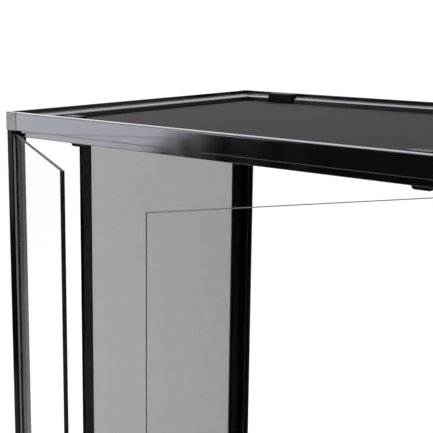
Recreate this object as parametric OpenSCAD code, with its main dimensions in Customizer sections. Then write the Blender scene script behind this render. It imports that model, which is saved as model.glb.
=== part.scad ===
// Terrarium cabinet: glass and mesh walls in a black frame, two swinging glass
// doors at the front and a screen lid that lifts off the top.
// Origin: centre of the footprint, on the floor. +X right, the doors face -Y, +Z up.

/* [Cabinet] */
// Outside width, left to right
cab_w = 610; // [420:1:1000]
// Outside depth, front to back
cab_d = 457; // [330:1:620]
// Outside height, floor to top of the frame
cab_h = 914; // [500:1:1300]

/* [Top frame] */
// Height of a top rail's outer face
rail_face = 21; // [18:0.5:30]
// Height of the set-back lip under the face
rail_lip = 7.5; // [4:0.5:10]
// Thickness of a rail from outside to inside
rail_depth = 17; // [15:0.5:24]
// How far the lip is set back from the face
lip_back = 6.2; // [5.8:0.1:7]
// Rounding of a rail's outer top edge
bead_r = 2.2; // [1:0.1:3]
// Width of the raised rim that rings the lid
rim_w = 5; // [4:0.5:6]
// Depth of the lid's seat below the rim
seat_drop = 13.3; // [12:0.1:15]
// How far rails lie behind the faces of the corner blocks
rail_inset = 0.4; // [0.2:0.1:1]

/* [Corners and posts] */
// Width of a corner block, the same way as a post
post_w = 17; // [16:0.5:24]
// Depth of a front post
front_post_d = 15.5; // [9:0.5:17]
// Depth of a back post
back_post_d = 17; // [15:0.5:24]
// How far posts lie behind the faces of the corner blocks
post_inset = 0.6; // [0.3:0.1:1]
// Rounding of the upright outer edges
corner_r = 1; // [0.5:0.1:5]
// Rounding of a corner block's outer top edges
block_edge_r = 1; // [0.5:0.1:3]
// Width of the post's outer strip beside a door
strip_w = 9; // [8:0.1:9.2]

/* [Base] */
// Height of the feet
foot_h = 6; // [4:0.5:15]
// Side of a square foot
foot_size = 30; // [24:1:45]
// Distance from the cabinet's faces to a foot
foot_inset = 3; // [0:0.5:10]
// Height of a base rail's outer face
base_face = 40; // [30:1:80]
// Width of the ledge that carries the floor
ledge_w = 5; // [4:0.5:10]
// Thickness of that ledge
ledge_t = 4; // [3:0.5:6]
// Thickness of the glass floor
floor_t = 5; // [4:0.5:8]
// Height of the fixed front glass that shows above the base
dam_h = 60; // [40:1:120]

/* [Front vent] */
// Height of the vent rail's face
vent_h = 24; // [18:1:40]
// Height of the door stop above it
vent_lip = 6; // [4:0.5:10]
// Length of one vent slot
slot_l = 22; // [12:1:30]
// Height of one vent slot
slot_h = 7; // [4:0.5:10]
// Vent slots on each side of the latch
slot_count = 7; // [3:1:9]
// Distance from the middle to the nearest slot
slot_start = 34; // [28:1:60]
// Step from one vent slot to the next
slot_step = 33; // [32:1:48]

/* [Wall panels] */
// Thickness of all glass
glass_t = 4; // [3:0.5:5]
// Distance from the cabinet's face to a fixed panel
panel_in = 7; // [6.8:0.1:8]
// Thickness of the window bars
bar_t = 5; // [4.5:0.5:6]
// Width of a window's front bar
front_bar_w = 16; // [12:0.5:24]
// Distance from the cabinet's front to that bar
front_bar_y = 109.5; // [80:0.5:150]
// Width of a window's back bar between mesh and post
back_bar_w = 22.5; // [12:0.5:40]
// Thickness of a mesh sheet
mesh_t = 0.8; // [0.6:0.1:1]
// How far panels go into their channels
channel_d = 3; // [2:0.5:4]
// How deep a post's channel is
post_channel = 2.5; // [2:0.1:2.8]
// Clearance beside a panel in its channel
channel_gap = 0.2; // [0.1:0.05:0.4]
// Clearance beside a mesh sheet in its groove
mesh_gap = 0.1; // [0.05:0.05:0.2]
// How deep the window bars' mesh groove is
mesh_groove = 3; // [2:0.5:5]

/* [Mesh openings] */
// Width of the strips between a mesh sheet's openings
mesh_strip = 8; // [4:1:14]
// Openings along the lid's mesh, left to right
lid_cells_x = 12; // [4:1:12]
// Openings along the lid's mesh, front to back
lid_cells_y = 9; // [3:1:12]
// Openings across a window's mesh
window_cells_y = 6; // [2:1:12]
// Openings up a window's mesh
window_cells_z = 12; // [4:1:12]

/* [Doors] */
// Distance from the cabinet's side to a door's hinge edge
door_edge = 10.4; // [10.2:0.1:11]
// Distance from a door's hinge edge to its pivot
pivot_edge = 2.5; // [2.3:0.1:2.8]
// How far the door glass lies behind the frame's face
door_face = 0.4; // [0.2:0.1:0.8]
// Gap above a door
gap_above = 4; // [0.6:0.1:5]
// Gap below a door
gap_below = 1; // [0.6:0.1:2]
// Gap between the closed doors
meet_gap = 5; // [2:0.5:6]
// How far the left door stands open
left_open = 32.1; // [0:0.1:90]
// How far the right door stands open
right_open = 57.5; // [0:0.1:90]
// Width of the left door's edge strip
edge_w = 1.5; // [1:0.5:5]

/* [Door hinges] */
// Length of a hinge shoe along the glass
shoe_l = 6; // [5:1:40]
// Height of a hinge shoe
shoe_h = 4; // [3.5:0.5:30]
// Thickness of a hinge shoe's plates
shoe_t = 0.8; // [0.6:0.1:0.9]
// Thickness of the cap over the glass's edge
shoe_cap = 2.4; // [2:0.1:4]
// Radius of a hinge shoe's round end
knuckle_r = 3.3; // [3.2:0.05:3.4]
// Diameter of a hinge pin
pin_d = 3; // [2:0.1:3.2]
// Length of a hinge pin
pin_l = 9; // [7:0.5:10]
// Clearance round a hinge pin
pin_gap = 0.05; // [0.02:0.01:0.1]
// Clearance past a hinge pin's end
pin_end_gap = 0.5; // [0.3:0.1:1]

/* [Door pulls] */
// Height of a pull
pull_h = 44; // [30:1:70]
// Width of a pull
pull_w = 10; // [8:1:14]
// Thickness of a pull's plate on the glass
pull_plate = 2; // [1:0.5:3]
// Thickness of a pull's ridge
pull_ridge = 4; // [3:0.5:6]
// How far a pull stands out
pull_out = 9; // [6:0.5:12]
// Distance from a door's free edge to its pull
pull_in = 12; // [8:1:30]
// Height of the pulls' middle above the doors' lower edge
pull_z = 300; // [100:5:380]

/* [Door latch] */
// Length of the turning bar
latch_l = 40; // [30:1:60]
// Width of the turning bar
latch_w = 11; // [8:1:14]
// Thickness of the turning bar
latch_t = 3.6; // [3:0.1:5]
// Gap between the bar and the closed doors
latch_gap = 0.4; // [0.3:0.1:1]
// Diameter of the round boss under the bar
latch_boss = 18; // [14:1:20]
// Diameter of the latch's spindle
spindle_d = 6; // [4:0.5:8]
// Length of the spindle in the vent rail
spindle_l = 9; // [6:0.5:12]
// Clearance round the spindle
spindle_gap = 0.05; // [0.02:0.01:0.1]

/* [Lid] */
// Gap between the lid and the rim round it
lid_gap = 0.8; // [0.5:0.1:1]
// Gap between the lid and its seat
seat_gap = 0.3; // [0.3:0.1:0.5]
// Width of the lid's bars
lid_bar_w = 16.2; // [14:0.1:20]
// Depth of the lid's outer edge below the rim
lid_drop = 4; // [2:0.5:6]
// Fall of a bar's top from its outer to its inner edge
lid_fall = 2.3; // [1:0.1:4]
// Bevel of a bar's inner top edge
lid_bevel = 1; // [0.5:0.1:1.5]
// Bevel of a bar's outer top edge
lid_outer_bevel = 0.8; // [0.4:0.1:1.2]
// Length of a lid corner's legs
lid_corner_l = 52; // [30:1:52]
// How far the mesh reaches under the bars
lid_mesh_lap = 3; // [1:0.5:4]

/* [Lid clips] */
// Length of a front clip's head
front_head_l = 22; // [20:1:70]
// Length of a back clip's head
back_head_l = 38; // [20:1:70]
// Length of a clip's leg
clip_leg_l = 20; // [12:1:20]
// Thickness of a clip's leg
clip_leg_t = 4; // [3:0.5:6]
// Depth of the legs' ends below the rim
clip_reach = 34.5; // [29:0.5:50]
// How far the heads stand above the rim
clip_proud = 0; // [0:0.1:2]
// Distance from the cabinet's face to a clip's head
clip_in = 12; // [10:0.5:14]
// Rounding of the legs' lower corners
clip_r = 3; // [1:0.5:5]
// Distance from the lid's front corner pieces to the clips' heads
front_clip_off = 27; // [1:1:70]
// Distance from the lid's back corner pieces to the clips' heads
back_clip_off = 2; // [1:1:70]
// Gap between a clip's leg and the mesh round it
clip_gap = 0.3; // [0.2:0.1:0.6]

/* [Hidden] */

// Colours
black = "#17181a";
soft_black = "#2a2b2d";
clear = [0.8, 0.88, 0.88, 0.35];
mesh_grey = [0.35, 0.34, 0.34, 0.85];

// Overlap that carries a cut past the face it opens
cut = 1;
$fn = 48;
// Sides of the four frame edges, in the order front, right, back, left
FRONT = 0;
RIGHT = 1;
BACK = 2;
LEFT = 3;

// Levels
rail_h = rail_face + rail_lip;
seat_z = cab_h - seat_drop;
rail_under = cab_h - rail_h;
post_top = cab_h - rail_face;
base_h = base_face + rail_lip;
base_top = foot_h + base_h;
post_foot = foot_h + base_face;
floor_z = foot_h + ledge_t;
vent_z = base_top + dam_h;
vent_top = vent_z + vent_h;
panel_foot = base_top - channel_d;
panel_h = rail_under + channel_d - panel_foot;
// Middle of the vent slots and of the latch, halfway up the face above the channel
slot_z = vent_z + (vent_h + channel_d) / 2;

// Doors
door_top = post_top - gap_above;
door_foot = vent_top + gap_below;
door_w = cab_w / 2 - door_edge - meet_gap / 2;
pivot_x = door_edge + pivot_edge;
pivot_y = door_face + glass_t / 2;
bore_d = pin_d + 2 * pin_gap;
// Length of the bore for a pin that crosses a gap first
function bore_l(gap) = pin_l + pin_end_gap - gap;

// Channel that holds every fixed panel, measured from the cabinet's face
channel_in = panel_in - channel_gap;
channel_w = bar_t + 2 * channel_gap;
// The back bar fills the space between the mesh and the back post's channel
back_bar_y = cab_d - back_post_d - back_bar_w;
mesh_y = front_bar_y + front_bar_w;
mesh_in = panel_in + (bar_t - mesh_t) / 2;

// Lid, measured down from the rim and in from the cabinet's face
lid_in = rim_w + lid_gap;
lid_inner = lid_in + lid_bar_w;
lid_under = seat_drop - seat_gap;
lid_high = lid_in + lid_outer_bevel;
lid_low = lid_inner - lid_bevel;
lid_low_drop = lid_drop + lid_fall;
// Depth of a bar's sloping top at a distance from the cabinet's face
function lid_top_drop(a) = lid_drop + lid_fall * (a - lid_high) / (lid_low - lid_high);

// Places children along one edge of the frame: x runs along it, y points inward
module on_edge(side) {
  half = side % 2 == 0 ? cab_d / 2 : cab_w / 2;
  rotate(90 * side) translate([0, -half, 0]) children();
}

// Places children in one corner: x and y both point inward
module on_corner(right, back) {
  mirror([right, 0, 0]) mirror([0, back, 0])
    translate([-cab_w / 2, -cab_d / 2, 0]) children();
}

// Length of a frame edge between its corner blocks
function edge_l(side) = (side % 2 == 0 ? cab_w : cab_d) - 2 * post_w;

// Sweeps a section along x, centred: the section's x is inward and its y is up
module along(length) {
  translate([-length / 2, 0, 0]) rotate([90, 0, 90]) linear_extrude(length) children();
}

// Block from near corner to far corner
module block(near, far) {
  translate(near) cube(far - near);
}

// ---- Frame ----

// Outer outline of a top rail: rounded edge at the top, lip set back below
module top_outline(face_in) {
  difference() {
    translate([face_in, -rail_h]) square([rail_depth - face_in, rail_h]);
    translate([face_in - cut, -rail_h - cut]) square([lip_back - face_in + cut, rail_lip + cut]);
    translate([face_in - cut, -bead_r]) square([bead_r + cut, bead_r + cut]);
  }
  translate([face_in + bead_r, -bead_r]) circle(bead_r);
}

module top_rail(side) {
  color(black) on_edge(side) translate([0, 0, cab_h]) along(edge_l(side)) difference() {
    top_outline(rail_inset);
    translate([rim_w, -seat_drop]) square([rail_depth, seat_drop + cut]);
    if (side != FRONT)
      translate([channel_in, -rail_h - cut]) square([channel_w, channel_d + cut]);
  }
}

module base_rail(side) {
  // The side rails' ledges stop short of the front and back ledges
  ledge_l = edge_l(side) - (side % 2 == 0 ? 0 : 2 * ledge_w);
  color(black) on_edge(side) translate([0, 0, foot_h]) {
    along(edge_l(side)) difference() {
      union() {
        translate([rail_inset, 0]) square([rail_depth - rail_inset, base_face - bead_r]);
        translate([rail_inset + bead_r, 0]) square([rail_depth - rail_inset - bead_r, base_face]);
        translate([rail_inset + bead_r, base_face - bead_r]) circle(bead_r);
        translate([lip_back, 0]) square([rail_depth - lip_back, base_h]);
      }
      translate([channel_in, base_h - channel_d]) square([channel_w, channel_d + cut]);
    }
    along(ledge_l) translate([rail_depth - cut, 0]) square([ledge_w + cut, ledge_t]);
  }
}

// Sheet of mesh with a plain grid of openings, a border all round them and strips between
module mesh_sheet(size, border, cells) {
  step = [for (i = [0, 1]) (size[i] - 2 * border[i] + mesh_strip) / cells[i]];
  color(mesh_grey) linear_extrude(mesh_t) difference() {
    square(size);
    for (i = [0 : cells[0] - 1]) for (j = [0 : cells[1] - 1])
      translate([border[0] + i * step[0], border[1] + j * step[1]])
        square([step[0] - mesh_strip, step[1] - mesh_strip]);
  }
}

// Plan of a block or post with its outer upright edge rounded
module rounded_plan(w, d, r) {
  difference() {
    square([w, d]);
    square([r, r]);
  }
  translate([r, r]) circle(r);
}

// Space for a door in a front corner
module door_rebate(z0, z1) {
  block([strip_w, -cut, z0], [post_w + cut, lip_back, z1]);
}

// Channels for the side panel and, at the back, the back glass
module corner_channels(back, z0, z1) {
  post_d = back == 1 ? back_post_d : front_post_d;
  block([channel_in, post_d - post_channel, z0], [channel_in + channel_w, rail_depth + cut, z1]);
  if (back == 1)
    block([post_w - post_channel, channel_in, z0], [post_w + cut, channel_in + channel_w, z1]);
}

module top_corner(right, back) {
  color(soft_black) on_corner(right, back) difference() {
    intersection() {
      translate([0, 0, post_top]) linear_extrude(rail_face)
        rounded_plan(post_w, rail_depth, corner_r);
      rounded_top();
    }
    block([rim_w, rim_w, seat_z], [post_w + cut, rail_depth + cut, cab_h + cut]);
    if (back == 0)
      translate([pivot_x, pivot_y, post_top - cut])
        cylinder(h = bore_l(gap_above) + cut, d = bore_d);
  }
}

// Rounds the two outer top edges of a corner block
module rounded_top() {
  intersection() {
    translate([post_w / 2, 0, cab_h]) along(post_w) block_outline(rail_depth);
    translate([0, rail_depth / 2, cab_h]) rotate(90) mirror([0, 1, 0]) along(rail_depth)
      block_outline(post_w);
  }
}

// Upright section of a corner block, seen along one face
module block_outline(depth) {
  r = block_edge_r;
  translate([r, -rail_face]) square([depth - r, rail_face]);
  translate([0, -rail_face]) square([depth, rail_face - r]);
  translate([r, -r]) circle(r);
}

module base_corner(right, back) {
  color(soft_black) on_corner(right, back) translate([0, 0, foot_h]) linear_extrude(base_face)
    rounded_plan(post_w, rail_depth, corner_r);
}

module post(right, back) {
  depth = back == 1 ? back_post_d : front_post_d;
  color(black) on_corner(right, back) difference() {
    translate([post_inset, post_inset, post_foot]) linear_extrude(post_top - post_foot)
      rounded_plan(post_w - post_inset, depth - post_inset, corner_r);
    corner_channels(back, panel_foot, post_top + cut);
    if (back == 0) {
      door_rebate(vent_top, post_top + cut);
      translate([pivot_x, pivot_y, vent_top - bore_l(gap_below)])
        cylinder(h = bore_l(gap_below) + cut, d = bore_d);
    }
  }
}

// ---- Base and floor ----

module feet() {
  color(soft_black) for (right = [0, 1]) for (back = [0, 1])
    on_corner(right, back) linear_extrude(foot_h) translate([foot_inset, foot_inset])
      rounded_plan(foot_size, foot_size, corner_r);
}

module floor_glass() {
  x = cab_w / 2 - rail_depth - channel_gap;
  y = cab_d / 2 - rail_depth - channel_gap;
  color(clear) block([-x, -y, floor_z], [x, y, floor_z + floor_t]);
}

// ---- Fixed front ----

module dam_glass() {
  half = cab_w / 2 - post_w;
  color(clear) on_edge(FRONT)
    block([-half, panel_in, panel_foot], [half, panel_in + glass_t, vent_z + channel_d]);
}

module vent_rail() {
  length = edge_l(FRONT);
  color(black) on_edge(FRONT) difference() {
    translate([0, 0, vent_z]) along(length) difference() {
      union() {
        translate([rail_inset, 0]) square([rail_depth - rail_inset, vent_h]);
        translate([lip_back, 0]) square([rail_depth - lip_back, vent_h + vent_lip]);
      }
      translate([channel_in, -cut]) square([channel_w, channel_d + cut]);
    }
    for (hand = [-1, 1]) for (i = [0 : slot_count - 1])
      translate([hand * (slot_start + i * slot_step), 0, slot_z]) vent_slot();
    translate([0, 0, slot_z]) rotate([-90, 0, 0])
      cylinder(h = rail_inset + spindle_l + pin_end_gap, d = spindle_d + 2 * spindle_gap);
  }
}

// Slot with round ends, right through the rail
module vent_slot() {
  straight = slot_l - slot_h;
  block([-straight / 2, -cut, -slot_h / 2], [straight / 2, rail_depth + cut, slot_h / 2]);
  for (end = [-1, 1]) translate([end * straight / 2, -cut, 0]) rotate([-90, 0, 0])
    cylinder(h = rail_depth + 2 * cut, d = slot_h);
}

module vent_mesh() {
  half = slot_start + (slot_count - 1) * slot_step + slot_l / 2 + slot_h / 2;
  color(mesh_grey) on_edge(FRONT)
    block([-half, rail_depth, slot_z - slot_h], [half, rail_depth + mesh_t, slot_z + slot_h]);
}

// ---- Fixed glass and mesh walls ----

module back_glass() {
  half = cab_w / 2 - post_w + post_channel - channel_gap;
  color(clear) on_edge(BACK)
    block([-half, panel_in, panel_foot], [half, panel_in + glass_t, panel_foot + panel_h]);
}

module side_glass(right) {
  color(clear) on_corner(right, 0)
    block([panel_in, front_post_d - post_channel + channel_gap, panel_foot],
      [panel_in + glass_t, front_bar_y, panel_foot + panel_h]);
}

// Groove for the mesh in a window bar
module mesh_slot(y0, y1) {
  block([mesh_in - mesh_gap, y0, panel_foot - cut],
    [mesh_in + mesh_t + mesh_gap, y1, panel_foot + panel_h + cut]);
}

module window_front_bar(right) {
  color(black) on_corner(right, 0) difference() {
    block([panel_in, front_bar_y, panel_foot], [panel_in + bar_t, mesh_y, panel_foot + panel_h]);
    mesh_slot(mesh_y - mesh_groove, mesh_y + cut);
  }
}

module window_back_bar(right) {
  bar_end = cab_d - back_post_d + post_channel - channel_gap;
  color(black) on_corner(right, 0) difference() {
    block([panel_in, back_bar_y, panel_foot], [panel_in + bar_t, bar_end, panel_foot + panel_h]);
    mesh_slot(back_bar_y - cut, back_bar_y + mesh_groove);
  }
}

module window_mesh(right) {
  lap = mesh_groove - mesh_gap;
  on_corner(right, 0) translate([mesh_in, mesh_y - lap, panel_foot]) rotate([90, 0, 90])
    mesh_sheet([back_bar_y - mesh_y + 2 * lap, panel_h],
      [lap + mesh_strip, channel_d + mesh_strip], [window_cells_y, window_cells_z]);
}

// ---- Doors: drawn closed, then swung open about the pivot ----

module door_leaf(right) {
  angle = right == 1 ? right_open : left_open;
  on_corner(right, 0) translate([pivot_x, pivot_y, 0]) rotate(-angle)
    translate([-pivot_x, -pivot_y, 0]) children();
}

module door_glass(right) {
  width = door_w - (right == 1 ? 0 : edge_w);
  color(clear) door_leaf(right) difference() {
    block([door_edge, door_face, door_foot], [door_edge + width, door_face + glass_t, door_top]);
    for (z = [door_foot - cut, door_top - shoe_cap])
      block([door_edge - cut, door_face - cut, z],
        [pivot_x + shoe_l, door_face + glass_t + cut, z + shoe_cap + cut]);
  }
}

module door_edge_strip() {
  free_edge = door_edge + door_w;
  color(black) door_leaf(0) block([free_edge - edge_w, door_face, door_foot],
    [free_edge, door_face + glass_t, door_top]);
}

// Shoe that clamps the glass's corner and carries the pin; top = 1, bottom = 0
module hinge_shoe(right, top) {
  plate_y = door_face - shoe_t;
  z0 = top == 1 ? door_top - shoe_h : door_foot;
  glass_z0 = top == 1 ? z0 - cut : z0 + shoe_cap;
  pin_z = top == 1 ? door_top - shoe_cap : door_foot - pin_l;
  color(soft_black) door_leaf(right) {
    difference() {
      union() {
        block([pivot_x, plate_y, z0], [pivot_x + shoe_l, door_face + glass_t + shoe_t, z0 + shoe_h]);
        translate([pivot_x, pivot_y, z0]) cylinder(h = shoe_h, r = knuckle_r);
      }
      block([door_edge, door_face, glass_z0],
        [pivot_x + shoe_l + cut, door_face + glass_t, glass_z0 + shoe_h - shoe_cap + cut]);
    }
    translate([pivot_x, pivot_y, pin_z]) cylinder(h = pin_l + shoe_cap, d = pin_d);
  }
}

// Bar with round ends, drawn upright and centred
module capsule(length, width) {
  square([width, length - width], center = true);
  for (end = [-1, 1]) translate([0, end * (length - width) / 2]) circle(d = width);
}

module pull(right) {
  x = door_edge + door_w - pull_in - pull_w / 2;
  color(soft_black) door_leaf(right) translate([x, door_face, door_foot + pull_z]) rotate([90, 0, 0]) {
    linear_extrude(pull_plate) capsule(pull_h, pull_w);
    linear_extrude(pull_out) capsule(pull_h - pull_w, pull_ridge);
  }
}

// ---- Latch that holds the closed doors ----

module door_latch() {
  bar_y = door_face - latch_gap;
  color(soft_black) on_edge(FRONT) translate([0, 0, slot_z]) rotate([-90, 0, 0]) {
    translate([0, 0, bar_y - latch_t]) linear_extrude(latch_t) {
      rotate(90) capsule(latch_l, latch_w);
      circle(d = latch_boss);
    }
    translate([0, 0, bar_y - cut]) cylinder(h = rail_inset + spindle_l - bar_y + cut, d = spindle_d);
  }
}

// ---- Lid ----

// Section of a lid bar: x inward from the cabinet's face, y down from the rim
module lid_section() {
  polygon([
    [lid_in, -lid_under],
    [lid_in, -lid_drop - lid_outer_bevel],
    [lid_high, -lid_drop],
    [lid_low, -lid_low_drop],
    [lid_inner, -lid_low_drop - lid_bevel],
    [lid_inner, -lid_under]
  ]);
}

module lid_bar(side) {
  length = (side % 2 == 0 ? cab_w : cab_d) - 2 * (lid_in + lid_corner_l);
  color(black) on_edge(side) translate([0, 0, cab_h]) along(length) lid_section();
}

module lid_corner(right, back) {
  middle = lid_in + lid_corner_l / 2;
  color(soft_black) on_corner(right, back) translate([0, 0, cab_h]) {
    translate([middle, 0, 0]) along(lid_corner_l) lid_section();
    translate([0, middle, 0]) rotate(90) mirror([0, 1, 0]) along(lid_corner_l) lid_section();
  }
}

module lid_mesh() {
  inset = lid_inner - lid_mesh_lap;
  size = [cab_w - 2 * inset, cab_d - 2 * inset];
  z = cab_h - lid_under;
  // The border carries the notches for the clips' legs
  border = lid_mesh_lap + clip_leg_t + clip_gap + mesh_strip;
  difference() {
    translate([-size[0] / 2, -size[1] / 2, z - mesh_t])
      mesh_sheet(size, [border, border], [lid_cells_x, lid_cells_y]);
    for (side = [FRONT, BACK]) for (hand = [-1, 1]) on_edge(side)
      translate([hand * clip_x(side), 0, 0]) block(
        [-clip_leg_l / 2 - clip_gap, inset - cut, z - mesh_t - cut],
        [clip_leg_l / 2 + clip_gap, lid_inner + clip_leg_t + clip_gap, z + cut]);
  }
}

function head_l(side) = side == FRONT ? front_head_l : back_head_l;
// Distance from the middle of an edge to its clips
function clip_x(side) = cab_w / 2 - lid_in - lid_corner_l - head_l(side) / 2
  - (side == FRONT ? front_clip_off : back_clip_off);

// Clip: a head that sits on the lid's bar and a leg that hangs inside the frame
module lid_clip(side, hand) {
  inner = lid_inner + clip_leg_t;
  bevel = clip_proud + lid_bevel / 2;
  color(soft_black) on_edge(side) translate([hand * clip_x(side), 0, 0]) {
    translate([0, 0, cab_h]) along(head_l(side)) polygon([
      [clip_in, -lid_top_drop(clip_in)],
      [lid_low, -lid_low_drop],
      [lid_inner, -lid_low_drop - lid_bevel],
      [lid_inner, -lid_under],
      [inner, -lid_under],
      [inner, clip_proud - bevel],
      [inner - bevel, clip_proud],
      [clip_in + bevel, clip_proud],
      [clip_in, clip_proud - bevel]
    ]);
    translate([0, lid_inner, cab_h]) rotate([90, 0, 0]) mirror([0, 0, 1])
      linear_extrude(clip_leg_t) leg_outline();
  }
}

// Front view of a clip's leg, y down from the rim
module leg_outline() {
  half = clip_leg_l / 2;
  translate([-half, -clip_reach + clip_r]) square([clip_leg_l, clip_reach - clip_r - lid_under]);
  translate([-half + clip_r, -clip_reach]) square([clip_leg_l - 2 * clip_r, clip_r + cut]);
  for (end = [-1, 1]) translate([end * (half - clip_r), -clip_reach + clip_r]) circle(clip_r);
}

top_rail(FRONT);  // front_top_rail
top_rail(RIGHT);  // right_top_rail
top_rail(BACK);  // back_top_rail
top_rail(LEFT);  // left_top_rail
base_rail(FRONT);  // front_base_rail
base_rail(RIGHT);  // right_base_rail
base_rail(BACK);  // back_base_rail
base_rail(LEFT);  // left_base_rail
top_corner(0, 0);  // top_corner_front_left
top_corner(1, 0);  // top_corner_front_right
top_corner(1, 1);  // top_corner_back_right
top_corner(0, 1);  // top_corner_back_left
base_corner(0, 0);  // base_corner_front_left
base_corner(1, 0);  // base_corner_front_right
base_corner(1, 1);  // base_corner_back_right
base_corner(0, 1);  // base_corner_back_left
post(0, 0);  // post_front_left
post(1, 0);  // post_front_right
post(1, 1);  // post_back_right
post(0, 1);  // post_back_left
feet();
floor_glass();
dam_glass();
vent_rail();
vent_mesh();
back_glass();
side_glass(0);  // left_side_glass
window_front_bar(0);  // left_window_front_bar
window_mesh(0);  // left_window_mesh
window_back_bar(0);  // left_window_back_bar
side_glass(1);  // right_side_glass
window_front_bar(1);  // right_window_front_bar
window_mesh(1);  // right_window_mesh
window_back_bar(1);  // right_window_back_bar
door_glass(0);  // left_door_glass
door_edge_strip();  // left_door_edge_strip
hinge_shoe(0, 1);  // left_hinge_top
hinge_shoe(0, 0);  // left_hinge_bottom
pull(0);  // left_pull
door_glass(1);  // right_door_glass
hinge_shoe(1, 1);  // right_hinge_top
hinge_shoe(1, 0);  // right_hinge_bottom
pull(1);  // right_pull
door_latch();
lid_bar(FRONT);  // lid_front_bar
lid_bar(RIGHT);  // lid_right_bar
lid_bar(BACK);  // lid_back_bar
lid_bar(LEFT);  // lid_left_bar
lid_corner(0, 0);  // lid_corner_front_left
lid_corner(1, 0);  // lid_corner_front_right
lid_corner(1, 1);  // lid_corner_back_right
lid_corner(0, 1);  // lid_corner_back_left
lid_mesh();
lid_clip(FRONT, -1);  // lid_clip_front_left
lid_clip(FRONT, 1);  // lid_clip_front_right
lid_clip(BACK, -1);  // lid_clip_back_right
lid_clip(BACK, 1);  // lid_clip_back_left
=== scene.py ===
"""Looks of a terrarium cabinet: glossy black frame, clear glass, woven wire screens.

Everything is in metres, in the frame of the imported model: +X right, the doors face -Y, +Z up.
"""

import math

import bpy
from mathutils import Matrix, Vector


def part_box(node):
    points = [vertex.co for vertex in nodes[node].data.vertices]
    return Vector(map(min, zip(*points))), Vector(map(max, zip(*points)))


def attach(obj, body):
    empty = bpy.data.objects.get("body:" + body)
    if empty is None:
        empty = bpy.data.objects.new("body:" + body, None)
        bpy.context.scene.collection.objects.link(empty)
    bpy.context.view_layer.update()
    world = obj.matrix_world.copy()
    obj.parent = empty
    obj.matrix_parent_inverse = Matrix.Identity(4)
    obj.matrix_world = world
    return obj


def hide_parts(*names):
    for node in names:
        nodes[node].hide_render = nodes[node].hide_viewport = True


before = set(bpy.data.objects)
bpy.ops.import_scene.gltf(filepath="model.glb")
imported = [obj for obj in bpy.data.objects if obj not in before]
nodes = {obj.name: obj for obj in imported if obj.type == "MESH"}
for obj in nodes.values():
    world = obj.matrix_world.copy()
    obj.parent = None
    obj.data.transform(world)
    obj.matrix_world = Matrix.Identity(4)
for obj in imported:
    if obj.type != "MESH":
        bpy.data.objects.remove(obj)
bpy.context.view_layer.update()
scene = bpy.context.scene

MM = 0.001


# ---- Camera ---------------------------------------------------------------------------------

PHOTO_SIDE_PX = 433
FOCAL_PX = 1018.8
PRINCIPAL_PX = Vector((158.1, 208.49))
CAMERA_AT = Vector((0.60799, -0.98449, 1.02643))
CAMERA_YAW = 0.73048
CAMERA_PITCH_DOWN = 0.19031
CAMERA_ROLL = -0.00216


def make_camera():
    """The photograph's camera: turned to the left, tilted down, with its frame shifted."""
    level = Vector((-math.sin(CAMERA_YAW), math.cos(CAMERA_YAW), 0))
    right = Vector((math.cos(CAMERA_YAW), math.sin(CAMERA_YAW), 0))
    up = Vector((0, 0, 1))
    ahead = math.cos(CAMERA_PITCH_DOWN) * level - math.sin(CAMERA_PITCH_DOWN) * up
    above = math.cos(CAMERA_PITCH_DOWN) * up + math.sin(CAMERA_PITCH_DOWN) * level
    rolled_right = math.cos(CAMERA_ROLL) * right - math.sin(CAMERA_ROLL) * above
    rolled_up = math.sin(CAMERA_ROLL) * right + math.cos(CAMERA_ROLL) * above

    data = bpy.data.cameras.new("camera")
    data.sensor_width = 36
    data.lens = FOCAL_PX / PHOTO_SIDE_PX * data.sensor_width
    middle = PHOTO_SIDE_PX / 2
    data.shift_x = (middle - PRINCIPAL_PX.x) / PHOTO_SIDE_PX
    data.shift_y = (PRINCIPAL_PX.y - middle) / PHOTO_SIDE_PX
    data.clip_start = 0.01
    camera = bpy.data.objects.new("camera", data)
    turn = Matrix((rolled_right, rolled_up, -ahead)).transposed().to_4x4()
    camera.matrix_world = Matrix.Translation(CAMERA_AT) @ turn
    scene.collection.objects.link(camera)
    scene.camera = camera


# ---- Shader nodes ---------------------------------------------------------------------------

RANGE_SOCKETS = ("From Min", "From Max", "To Min", "To Max")
EDGE_SAMPLES = 6


def link(tree, source, target):
    """Joins an output socket to an input socket."""
    tree.links.new(source, target)


def math_node(tree, operation, *inputs):
    """A Math node whose inputs are numbers or sockets; returns its output."""
    node = tree.nodes.new("ShaderNodeMath")
    node.operation = operation
    for socket, value in zip(node.inputs, inputs):
        if isinstance(value, (int, float)):
            socket.default_value = value
        else:
            link(tree, value, socket)
    return node.outputs[0]


def ramp(tree, value, low, high, low_at=0.3, high_at=0.7):
    """Runs from low to high as value runs from low_at to high_at; colours or numbers."""
    node = tree.nodes.new("ShaderNodeMapRange" if isinstance(low, float) else "ShaderNodeValToRGB")
    link(tree, value, node.inputs[0])
    if isinstance(low, float):
        for name, number in zip(RANGE_SOCKETS, (low_at, high_at, low, high)):
            node.inputs[name].default_value = number
        return node.outputs[0]
    first, last = node.color_ramp.elements
    first.position, first.color = low_at, (*low, 1)
    last.position, last.color = high_at, (*high, 1)
    return node.outputs["Color"]


def object_noise(tree, scale, stretch=(1, 1, 1), detail=3.0):
    """Noise in the object's own metres; stretch below 1 along an axis draws it out there."""
    coordinates = tree.nodes.new("ShaderNodeTexCoord")
    mapping = tree.nodes.new("ShaderNodeMapping")
    mapping.inputs["Scale"].default_value = stretch
    noise = tree.nodes.new("ShaderNodeTexNoise")
    noise.inputs["Scale"].default_value = scale
    noise.inputs["Detail"].default_value = detail
    link(tree, coordinates.outputs["Object"], mapping.inputs["Vector"])
    link(tree, mapping.outputs["Vector"], noise.inputs["Vector"])
    return noise.outputs["Fac"]


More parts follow.
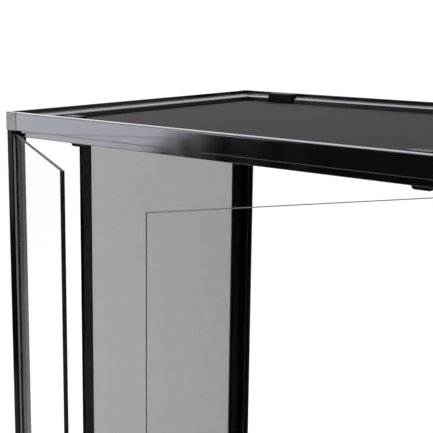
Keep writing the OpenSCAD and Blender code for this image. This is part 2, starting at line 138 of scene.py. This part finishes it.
def bump(tree, shader, height, distance, strength=1.0, edge_radius=0.0):
    """Bump from a height, over edges that look rounded where a radius is given."""
    node = tree.nodes.new("ShaderNodeBump")
    if edge_radius:
        edge = tree.nodes.new("ShaderNodeBevel")
        edge.samples = EDGE_SAMPLES
        edge.inputs["Radius"].default_value = edge_radius
        link(tree, edge.outputs["Normal"], node.inputs["Normal"])
    node.inputs["Distance"].default_value = distance
    node.inputs["Strength"].default_value = strength
    link(tree, height, node.inputs["Height"])
    link(tree, node.outputs["Normal"], shader.inputs["Normal"])


# ---- Light and floor ------------------------------------------------------------------------

FLOOR_FRONT_Y = -1.3
FLOOR_BACK_Y = 9
FLOOR_HALF_WIDTH = 9
FLOOR_GREY = 0.8
SEEN_FLOOR_GREY = 0.25
NEAR_GLOW, FAR_GLOW = 0.84, 0.99

# How bright the world is to the rays that light things, and to the eye.
FILL = 0.5
BACKDROP = 1.06

# What gloss mirrors: a white sweep, a ceiling, and a dark room in front. Each row gives two
# values of one part of the ray's direction, and the levels there.
SWEEP_BY_Y = (-0.1, 0.3, 0.0, 1.0)
SWEEP_BY_Z = (0.05, 0.3, 0.97, 1.7)
SWEEP_BY_X = (0.0, 0.5, 1.0, 0.3)
CEILING_BY_Z = (0.25, 0.7, 0.0, 0.6)
ROOM_GLOW = 0.015

LAMP_WATTS = 4  # for each square metre of a lamp at radiance 1


def soft_box(name, at, aim, size, radiance, roll=0.0):
    """A rectangular lamp at one point that faces another; radiance 1 looks white."""
    data = bpy.data.lights.new(name, "AREA")
    data.shape = "RECTANGLE"
    data.size, data.size_y = size
    data.energy = LAMP_WATTS * radiance * size[0] * size[1]
    lamp = bpy.data.objects.new(name, data)
    facing = (Vector(at) - Vector(aim)).to_track_quat("Z", "Y")
    lamp.matrix_world = (
        Matrix.Translation(at) @ facing.to_matrix().to_4x4() @ Matrix.Rotation(roll, 4, "Z")
    )
    scene.collection.objects.link(lamp)


def backdrop_rays(tree):
    """Two masks: 1 for rays from the eye that nothing but glass has turned, and 1 for rays
    that a glossy surface has mirrored, also where they go on through glass."""
    path = tree.nodes.new("ShaderNodeLightPath")
    mirrored = math_node(tree, "MINIMUM", path.outputs["Glossy Depth"], 1.0)
    scattered = math_node(tree, "ADD", path.outputs["Diffuse Depth"], mirrored)
    straight = math_node(tree, "LESS_THAN", scattered, 0.5)
    through = math_node(tree, "MULTIPLY", path.outputs["Is Transmission Ray"], straight)
    return math_node(tree, "MAXIMUM", path.outputs["Is Camera Ray"], through), mirrored


def make_world():
    """White to the eye and through glass, an even fill for lighting, and, for reflections,
    a studio with a white sweep behind the cabinet and a dark room in front of it."""
    world = bpy.data.worlds.new("studio")
    world.use_nodes = True
    world.cycles.sampling_method = "NONE"
    scene.world = world
    tree = world.node_tree
    tree.nodes.clear()
    seen, mirrored = backdrop_rays(tree)

    direction = tree.nodes.new("ShaderNodeSeparateXYZ")
    coordinates = tree.nodes.new("ShaderNodeTexCoord")
    link(tree, coordinates.outputs["Generated"], direction.inputs[0])

    def level_by(part, levels):
        node = tree.nodes.new("ShaderNodeMapRange")
        node.interpolation_type = "SMOOTHSTEP"
        link(tree, direction.outputs[part], node.inputs["Value"])
        for name, number in zip(RANGE_SOCKETS, levels):
            node.inputs[name].default_value = number
        return node.outputs[0]

    sweep = math_node(tree, "MULTIPLY", level_by("Y", SWEEP_BY_Y), level_by("Z", SWEEP_BY_Z))
    sweep = math_node(tree, "MULTIPLY", sweep, level_by("X", SWEEP_BY_X))
    brightest = math_node(tree, "MAXIMUM", sweep, level_by("Z", CEILING_BY_Z))
    studio = math_node(tree, "ADD", brightest, ROOM_GLOW)
    fill = tree.nodes.new("ShaderNodeMix")
    fill.inputs["A"].default_value = FILL
    link(tree, mirrored, fill.inputs["Factor"])
    link(tree, studio, fill.inputs["B"])
    level = tree.nodes.new("ShaderNodeMix")
    level.inputs["B"].default_value = BACKDROP
    link(tree, seen, level.inputs["Factor"])
    link(tree, fill.outputs["Result"], level.inputs["A"])
    background = tree.nodes.new("ShaderNodeBackground")
    background.inputs["Color"].default_value = (1, 1, 1, 1)
    link(tree, level.outputs["Result"], background.inputs["Strength"])
    output = tree.nodes.new("ShaderNodeOutputWorld")
    link(tree, background.outputs[0], output.inputs["Surface"])


def make_floor():
    """A pale floor under and behind the cabinet, which ends a step in front of it. To the eye
    it glows almost white and takes the cabinet's shadow; other rays meet a plain matt floor."""
    mesh = bpy.data.meshes.new("floor")
    x, front, back = FLOOR_HALF_WIDTH, FLOOR_FRONT_Y, FLOOR_BACK_Y
    corners = [(-x, front, 0), (x, front, 0), (x, back, 0), (-x, back, 0)]
    mesh.from_pydata(corners, [], [(0, 1, 2, 3)])
    floor = bpy.data.objects.new("floor", mesh)
    scene.collection.objects.link(floor)

    material = bpy.data.materials.new("floor")
    material.use_nodes = True
    tree = material.node_tree
    shader = tree.nodes["Principled BSDF"]
    shader.inputs["Base Color"].default_value = (FLOOR_GREY, FLOOR_GREY, FLOOR_GREY, 1)
    shader.inputs["Roughness"].default_value = 0.9
    shader.inputs["Specular IOR Level"].default_value = 0.0
    matt = tree.nodes.new("ShaderNodeBsdfDiffuse")
    matt.inputs["Color"].default_value = (SEEN_FLOOR_GREY, SEEN_FLOOR_GREY, SEEN_FLOOR_GREY, 1)
    glow = tree.nodes.new("ShaderNodeEmission")
    place = tree.nodes.new("ShaderNodeSeparateXYZ")
    coordinates = tree.nodes.new("ShaderNodeTexCoord")
    link(tree, coordinates.outputs["Object"], place.inputs[0])
    link(tree, ramp(tree, place.outputs["Y"], NEAR_GLOW, FAR_GLOW, 0.0, FLOOR_BACK_Y),
         glow.inputs["Strength"])
    white = tree.nodes.new("ShaderNodeAddShader")
    link(tree, matt.outputs[0], white.inputs[0])
    link(tree, glow.outputs[0], white.inputs[1])
    choice = tree.nodes.new("ShaderNodeMixShader")
    seen, _ = backdrop_rays(tree)
    link(tree, seen, choice.inputs["Fac"])
    link(tree, shader.outputs[0], choice.inputs[1])
    link(tree, white.outputs[0], choice.inputs[2])
    link(tree, choice.outputs[0], tree.nodes["Material Output"].inputs["Surface"])
    mesh.materials.append(material)


def make_light():
    """The world, the floor and two soft lamps on the left."""
    scene.view_settings.view_transform = "Standard"
    make_world()
    make_floor()
    soft_box(
        "front_left_box", at=(-2.31, -2.24, 1.05), aim=(0, -0.2, 0.75),
        size=(1.3, 1.3), radiance=2.5, roll=math.radians(30),
    )
    soft_box(
        "top_left_box", at=(-1.6, -0.1, 2.6), aim=(0, 0, 0.9), size=(2.4, 2.4), radiance=2.4
    )


# ---- Materials ------------------------------------------------------------------------------

RAIL_EDGE_R = 1.2 * MM
ALONG = {"x": (0.01, 1, 1), "y": (1, 0.01, 1), "z": (1, 1, 0.01)}


def new_material(name, colour, roughness, **constants):
    """A Principled material with plain starting values; returns (material, tree, shader)."""
    material = bpy.data.materials.new(name)
    material.use_nodes = True
    tree = material.node_tree
    shader = tree.nodes["Principled BSDF"]
    shader.inputs["Base Color"].default_value = (*colour, 1)
    shader.inputs["Roughness"].default_value = roughness
    for socket, value in constants.items():
        shader.inputs[socket.replace("_", " ")].default_value = value
    return material, tree, shader


def extrusion(name, axis, ior=2.0, roughness=0.09, edge_radius=0.0):
    """Glossy black extrusion: fine die lines along it, faint cloudiness across the gloss."""
    material, tree, shader = new_material(
        name, (0.003, 0.003, 0.0035), roughness, IOR=ior, Specular_Tint=(0.88, 0.9, 1, 1)
    )
    lines = object_noise(tree, 1400, ALONG[axis], detail=2)
    cloud = object_noise(tree, 35)
    link(tree, ramp(tree, cloud, (0.0025, 0.0025, 0.003), (0.004, 0.004, 0.0045)),
         shader.inputs["Base Color"])
    link(tree, ramp(tree, cloud, roughness - 0.03, roughness + 0.04), shader.inputs["Roughness"])
    bump(tree, shader, lines, 0.006 * MM, 0.5, edge_radius)
    return material


def moulded(name, grey, roughness, ior):
    """Black moulding with a fine spark-eroded grain."""
    material, tree, shader = new_material(name, (grey, grey, grey), roughness, IOR=ior)
    grain = object_noise(tree, 2600, detail=2)
    patches = object_noise(tree, 60)
    link(tree, ramp(tree, patches, (grey * 0.85,) * 3, (grey * 1.15,) * 3),
         shader.inputs["Base Color"])
    link(tree, ramp(tree, patches, roughness - 0.04, roughness + 0.05), shader.inputs["Roughness"])
    bump(tree, shader, grain, 0.02 * MM, 0.6)
    return material


def rubber(name):
    """Matt black rubber with fine pores."""
    material, tree, shader = new_material(name, (0.02, 0.02, 0.02), 0.8, Specular_IOR_Level=0.3)
    pores = object_noise(tree, 1800, detail=4)
    link(tree, ramp(tree, pores, (0.014, 0.014, 0.014), (0.028, 0.028, 0.027)),
         shader.inputs["Base Color"])
    bump(tree, shader, pores, 0.06 * MM)
    return material


def clear_glass(name):
    """Thin float glass with little glare and a faint uneven tint."""
    material, tree, shader = new_material(
        name, (0.995, 1, 0.998), 0.0, Transmission_Weight=1.0, IOR=1.021
    )
    haze = object_noise(tree, 4, detail=1)
    link(tree, ramp(tree, haze, (0.985, 0.992, 0.989), (0.998, 1, 0.999)),
         shader.inputs["Base Color"])
    return material


def tinted(grey, tint):
    """A grey times a tint's red, green and blue."""
    return tuple(grey * part for part in tint)


def ground_edge(name, grey):
    """The ground edge of a pane: grey, faintly green, with fine chatter from the wheel."""
    material, tree, shader = new_material(
        name, tinted(grey, (1, 1.08, 1.04)), 0.6, Specular_IOR_Level=0.1
    )
    chatter = object_noise(tree, 1500, detail=2)
    dark, pale = tinted(grey, (0.7, 0.82, 0.78)), tinted(grey, (1.3, 1.42, 1.36))
    link(tree, ramp(tree, chatter, dark, pale), shader.inputs["Base Color"])
    bump(tree, shader, chatter, 0.02 * MM)
    return material


def coated_wire(name, grey):
    """Black coated wire, a little uneven where the coating pools."""
    material, tree, shader = new_material(name, (grey, grey, grey), 0.6, Specular_IOR_Level=0.2)
    pools = object_noise(tree, 900, detail=2)
    dark, pale = tinted(grey, (0.7, 0.63, 0.64)), tinted(grey, (1.3, 1.17, 1.19))
    link(tree, ramp(tree, pools, dark, pale), shader.inputs["Base Color"])
    return material


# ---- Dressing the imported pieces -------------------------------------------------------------

EDGE_R = 0.4 * MM
EDGE_SEGMENTS = 3
JOIN_WITHIN = 0.001 * MM
SHARP_FROM = math.radians(50)
HINGE_SIDE = 5 * MM
FACING_SAME_WAY = 0.9
MOSTLY_LEVEL = 0.5


def dress(node, material):
    """Gives a CAD node one material."""
    mesh = nodes[node].data
    mesh.materials.clear()
    mesh.materials.append(material)


def round_off(node):
    """Rounds a node's sharp edges a little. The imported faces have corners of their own, so
    they are joined first."""
    nodes[node].modifiers.new("joining", "WELD").merge_threshold = JOIN_WITHIN
    bevel = nodes[node].modifiers.new("rounding", "BEVEL")
    bevel.width = EDGE_R
    bevel.segments = EDGE_SEGMENTS
    bevel.limit_method = "ANGLE"
    bevel.angle_limit = SHARP_FROM


def dress_pane(node, clear, edge):
    """Clear faces and ground edges on a pane, told apart by the way they point."""
    dress(node, clear)
    mesh = nodes[node].data
    mesh.materials.append(edge)
    flat = max(mesh.polygons, key=lambda face: face.area).normal.copy()
    for face in mesh.polygons:
        face.material_index = 0 if abs(face.normal.dot(flat)) > FACING_SAME_WAY else 1


def dress_door(node, clear, edge, painted_glare_edge):
    """A door's pane. Its upright edge beside the post gets a much paler grey than its other edges:
    a painted reflection that stands in for glare along the pane there.
    """
    dress_pane(node, clear, edge)
    mesh = nodes[node].data
    mesh.materials.append(painted_glare_edge)
    outermost = max(abs(corner.co.x) for corner in mesh.vertices)
    for face in mesh.polygons:
        upright_edge = face.material_index == 1 and abs(face.normal.z) < MOSTLY_LEVEL
        # the upright edge by the post takes the pale grey of the painted reflection
        if upright_edge and abs(face.center.x) > outermost - HINGE_SIDE:
            face.material_index = 2


def dress_nodes():
    """Gives each CAD node the material of its kind, which its name tells."""
    frame_x = extrusion("frame_x", "x", edge_radius=RAIL_EDGE_R)
    frame_y = extrusion("frame_y", "y", edge_radius=RAIL_EDGE_R)
    lid_x = extrusion("lid_x", "x", roughness=0.24)
    lid_y = extrusion("lid_y", "y", roughness=0.24)
    post = extrusion("post", "z", ior=1.15, roughness=0.12)
    back_post = extrusion("back_post", "z", ior=1.06, roughness=0.12)
    window_bar = extrusion("window_bar", "z", ior=1.22, roughness=0.12)
    corner = moulded("corner", grey=0.012, roughness=0.24, ior=2.0)
    fitting = moulded("fitting", grey=0.008, roughness=0.5, ior=1.35)
    clip = moulded("clip", grey=0.007, roughness=0.5, ior=1.2)
    clear = clear_glass("clear_glass")
    edge = ground_edge("ground_edge", grey=0.05)
    # painted reflection: a pale grey for the door panes' edges beside the posts, standing in for
    # glare on the glass there
    painted_glare_edge = ground_edge("painted_glare_edge", grey=0.35)
    feet = rubber("feet")
    for name in nodes:
        if name.endswith("door_glass"):
            dress_door(name, clear, edge, painted_glare_edge)
        elif name.endswith("glass"):
            dress_pane(name, clear, edge)
        elif name == "feet":
            dress(name, feet)
        elif "corner" in name:
            dress(name, corner)
            round_off(name)
        elif "window" in name and name.endswith("_bar"):
            dress(name, back_post if "back" in name else window_bar)
            round_off(name)
        elif name.startswith("post"):
            dress(name, back_post if "back" in name else post)
            round_off(name)
        elif name.endswith("_rail"):
            dress(name, frame_y if name.startswith(("left", "right")) else frame_x)
        elif name.startswith("lid") and name.endswith("_bar"):
            dress(name, lid_y if name in ("lid_left_bar", "lid_right_bar") else lid_x)
        else:
            dress(name, clip if "clip" in name else fitting)


# ---- Wire screens ---------------------------------------------------------------------------

WIRE_PITCH = 0.85 * MM
WIRE_D = 0.286 * MM
WIRE_SIDES = 6


def prism(points, faces, start, end, radius):
    """Adds one straight wire with flat ends to a mesh's points and faces."""
    along = (end - start).normalized()
    side = along.orthogonal().normalized()
    other = along.cross(side)
    first = len(points)
    for centre in (start, end):
        for i in range(WIRE_SIDES):
            angle = 2 * math.pi * i / WIRE_SIDES
            points.append(centre + radius * (math.cos(angle) * side + math.sin(angle) * other))
    ring = range(WIRE_SIDES)
    faces += [
        (first + i, first + (i + 1) % WIRE_SIDES,
         first + WIRE_SIDES + (i + 1) % WIRE_SIDES, first + WIRE_SIDES + i)
        for i in ring
    ]
    faces.append(tuple(first + i for i in reversed(ring)))
    faces.append(tuple(first + WIRE_SIDES + i for i in ring))


def spans(low, high, gaps):
    """The stretches of low..high that are left between the gaps."""
    for start, end in sorted(gaps):
        if start > low:
            yield low, start
        low = max(low, end)
    if low < high:
        yield low, high


def wire_screen(name, node, body, material, notches=()):
    """Two layers of crossing wires in the place of a plate. notches are pairs of corners,
    and no wire crosses them."""
    low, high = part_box(node)
    size = high - low
    thin = min(range(3), key=lambda axis: size[axis])
    flat = [axis for axis in range(3) if axis != thin]
    points, faces = [], []
    for layer, (along, across) in enumerate((flat, flat[::-1])):
        count = int(size[across] / WIRE_PITCH)
        margin = (size[across] - (count - 1) * WIRE_PITCH) / 2
        level = (low[thin] + high[thin]) / 2 + (layer - 0.5) * WIRE_D
        for i in range(count):
            place = low[across] + margin + i * WIRE_PITCH
            gaps = [
                (a[along], b[along]) for a, b in notches if a[across] < place < b[across]
            ]
            for start_at, end_at in spans(low[along], high[along], gaps):
                start, end = Vector(), Vector()
                start[across] = end[across] = place
                start[thin] = end[thin] = level
                start[along], end[along] = start_at, end_at
                prism(points, faces, start, end, WIRE_D / 2)
    mesh = bpy.data.meshes.new(name)
    mesh.from_pydata(points, [], faces)
    mesh.materials.append(material)
    screen = bpy.data.objects.new(name, mesh)
    scene.collection.objects.link(screen)
    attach(screen, body)
    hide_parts(node)


def leg_notch(clip, plate_low, clearance=0.3 * MM):
    """The two corners of the notch that a lid clip's leg needs in the lid's screen."""
    leg = [v.co for v in nodes[clip].data.vertices if v.co.z < plate_low]
    low = Vector(min(co[axis] for co in leg) - clearance for axis in range(3))
    high = Vector(max(co[axis] for co in leg) + clearance for axis in range(3))
    return low, high


def make_screens():
    """Woven wire in the place of each mesh sheet, with notches for the lid clips' legs."""
    lid_wire = coated_wire("lid_wire", grey=0.06)
    wall_wire = coated_wire("wall_wire", grey=0.03)
    plate_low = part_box("lid_mesh")[0].z
    clips = [name for name in nodes if name.startswith("lid_clip")]
    notches = [leg_notch(clip, plate_low) for clip in clips]
    wire_screen("lid_screen", "lid_mesh", "lid", lid_wire, notches)
    for side in ("left", "right"):
        wire_screen(f"{side}_window_screen", f"{side}_window_mesh", "cabinet", wall_wire)
    wire_screen("vent_screen", "vent_mesh", "cabinet", wall_wire)


make_camera()
make_light()
dress_nodes()
make_screens()
